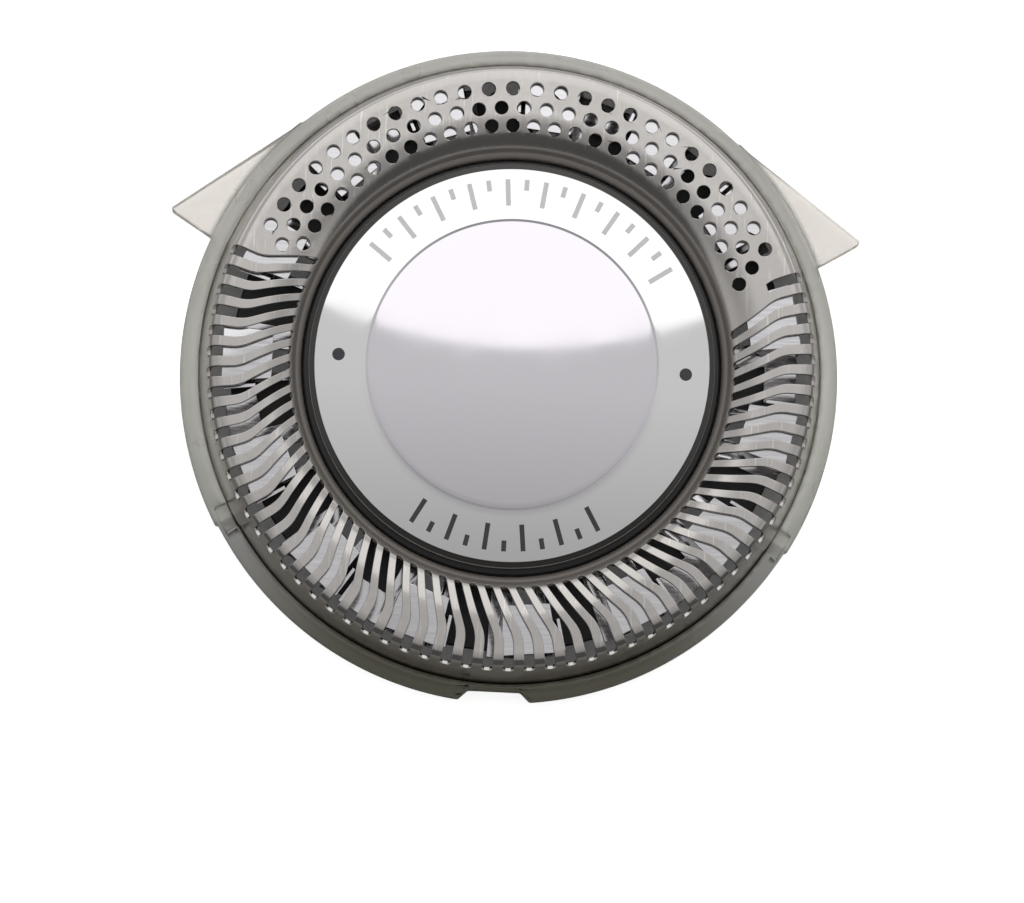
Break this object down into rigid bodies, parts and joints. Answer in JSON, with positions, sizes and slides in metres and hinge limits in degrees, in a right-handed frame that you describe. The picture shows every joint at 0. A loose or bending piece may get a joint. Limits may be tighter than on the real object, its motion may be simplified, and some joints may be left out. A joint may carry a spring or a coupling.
{
  "type": "rotary shaver head",
  "caption": "Round electric shaver head: slotted and perforated steel guard in a winged plastic frame, over a bladed cutter that spins under it.",
  "frame": {"origin": "on the cutter's axis, at the base plane of the retaining frame on which the head lies", "axes": "+Z along the cutter's axis towards the skin, +Y between the two wings, +X towards the right wing seen from the skin side"},
  "size_m": [0.029, 0.0274, 0.0055],
  "materials": {
    "clear_plastic": "pale translucent",
    "guard_steel": "satin",
    "polished_steel": "mirror polished",
    "black_plastic": "matt black",
    "blade_steel": "ground"
  },
  "bodies": {
    "head": {"retaining_frame": "clear_plastic", "shaving_guard": "guard_steel", "cap_carrier": "black_plastic", "cap_plate": "polished_steel"},
    "cutter": {"cutter_hub": "black_plastic", "cutter_blades": "blade_steel", "lifter_ring": "blade_steel", "lifter_clamp": "black_plastic"}
  },
  "joints": [
    {"name": "cutter_spin", "type": "hinge", "parent": "head", "child": "cutter", "pos_m": [0, 0, 0], "axis": [0, 0, 1], "continuous": true}
  ]
}
